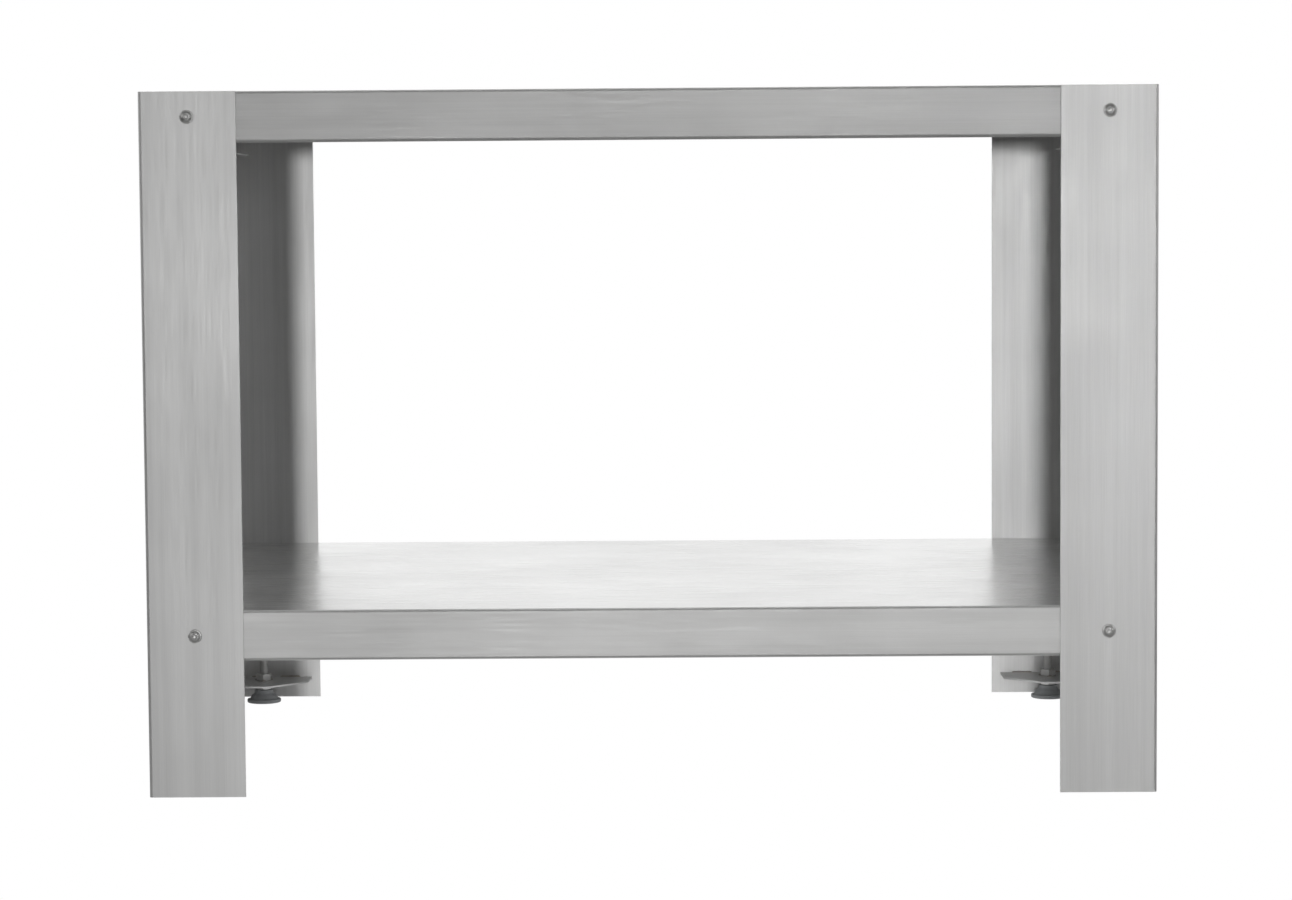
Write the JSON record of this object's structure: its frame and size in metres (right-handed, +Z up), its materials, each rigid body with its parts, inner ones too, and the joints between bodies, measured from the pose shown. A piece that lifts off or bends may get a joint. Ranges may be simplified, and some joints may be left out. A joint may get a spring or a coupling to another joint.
{
  "type": "oven stand",
  "caption": "Open steel floor stand for a conveyor pizza oven: folded angle legs, top rails, turned-down undershelf and levelling feet.",
  "frame": {"origin": "on the floor, under the middle of the stand", "axes": "+X to the stand's right along its width, +Y to its rear, +Z up"},
  "size_m": [1.0072, 0.7072, 0.7],
  "materials": {
    "brushed_sheet": "satin, fine grain along each piece",
    "shelf_sheet": "satin, fine grain across the width",
    "fasteners": "plain turned steel",
    "foot_plastic": "grey moulded nylon, slightly rough"
  },
  "bodies": {
    "frame": {"leg_front_left": "brushed_sheet", "leg_front_right": "brushed_sheet", "leg_rear_left": "brushed_sheet", "leg_rear_right": "brushed_sheet", "top_rail_front": "brushed_sheet", "top_rail_rear": "brushed_sheet", "top_rail_left": "brushed_sheet", "top_rail_right": "brushed_sheet", "undershelf": "shelf_sheet", "shelf_stiffener_front": "brushed_sheet", "shelf_stiffener_rear": "brushed_sheet", "bolt_top_front_left_face": "fasteners", "bolt_top_front_left_side": "fasteners", "bolt_shelf_front_left_face": "fasteners", "bolt_shelf_front_left_side": "fasteners", "bolt_top_front_right_face": "fasteners", "bolt_top_front_right_side": "fasteners", "bolt_shelf_front_right_face": "fasteners", "bolt_shelf_front_right_side": "fasteners", "bolt_top_rear_left_face": "fasteners", "bolt_top_rear_left_side": "fasteners", "bolt_shelf_rear_left_face": "fasteners", "bolt_shelf_rear_left_side": "fasteners", "bolt_top_rear_right_face": "fasteners", "bolt_top_rear_right_side": "fasteners", "bolt_shelf_rear_right_face": "fasteners", "bolt_shelf_rear_right_side": "fasteners", "nut_top_front_left_face": "fasteners", "nut_top_front_left_side": "fasteners", "nut_top_front_right_face": "fasteners", "nut_top_front_right_side": "fasteners", "nut_top_rear_left_face": "fasteners", "nut_top_rear_left_side": "fasteners", "nut_top_rear_right_face": "fasteners", "nut_top_rear_right_side": "fasteners", "foot_nut_front_left": "fasteners", "foot_nut_front_right": "fasteners", "foot_nut_rear_left": "fasteners", "foot_nut_rear_right": "fasteners"},
    "pad_front_left": {"foot_pad_front_left": "foot_plastic"},
    "stud_front_left": {"foot_stud_front_left": "fasteners"},
    "pad_front_right": {"foot_pad_front_right": "foot_plastic"},
    "stud_front_right": {"foot_stud_front_right": "fasteners"},
    "pad_rear_left": {"foot_pad_rear_left": "foot_plastic"},
    "stud_rear_left": {"foot_stud_rear_left": "fasteners"},
    "pad_rear_right": {"foot_pad_rear_right": "foot_plastic"},
    "stud_rear_right": {"foot_stud_rear_right": "fasteners"}
  },
  "joints": [
    {"name": "foot_travel_front_left", "type": "slide", "parent": "frame", "child": "pad_front_left", "axis": [0, 0, -1], "range_m": [0, 0.025]},
    {"name": "stud_turn_front_left", "type": "hinge", "parent": "pad_front_left", "child": "stud_front_left", "pos_m": [-0.468, -0.318, 0.02], "axis": [0, 0, -1], "range_deg": [0, 6001]},
    {"name": "foot_travel_front_right", "type": "slide", "parent": "frame", "child": "pad_front_right", "axis": [0, 0, -1], "range_m": [0, 0.025]},
    {"name": "stud_turn_front_right", "type": "hinge", "parent": "pad_front_right", "child": "stud_front_right", "pos_m": [0.468, -0.318, 0.02], "axis": [0, 0, -1], "range_deg": [0, 6001]},
    {"name": "foot_travel_rear_left", "type": "slide", "parent": "frame", "child": "pad_rear_left", "axis": [0, 0, -1], "range_m": [0, 0.025]},
    {"name": "stud_turn_rear_left", "type": "hinge", "parent": "pad_rear_left", "child": "stud_rear_left", "pos_m": [-0.468, 0.318, 0.02], "axis": [0, 0, -1], "range_deg": [0, 6001]},
    {"name": "foot_travel_rear_right", "type": "slide", "parent": "frame", "child": "pad_rear_right", "axis": [0, 0, -1], "range_m": [0, 0.025]},
    {"name": "stud_turn_rear_right", "type": "hinge", "parent": "pad_rear_right", "child": "stud_rear_right", "pos_m": [0.468, 0.318, 0.02], "axis": [0, 0, -1], "range_deg": [0, 6001]}
  ],
  "couplings": [
    {"joint": "stud_turn_front_left", "follows": "foot_travel_front_left", "rad_per_m": 4188.8},
    {"joint": "stud_turn_front_right", "follows": "foot_travel_front_right", "rad_per_m": 4188.8},
    {"joint": "stud_turn_rear_left", "follows": "foot_travel_rear_left", "rad_per_m": 4188.8},
    {"joint": "stud_turn_rear_right", "follows": "foot_travel_rear_right", "rad_per_m": 4188.8}
  ]
}
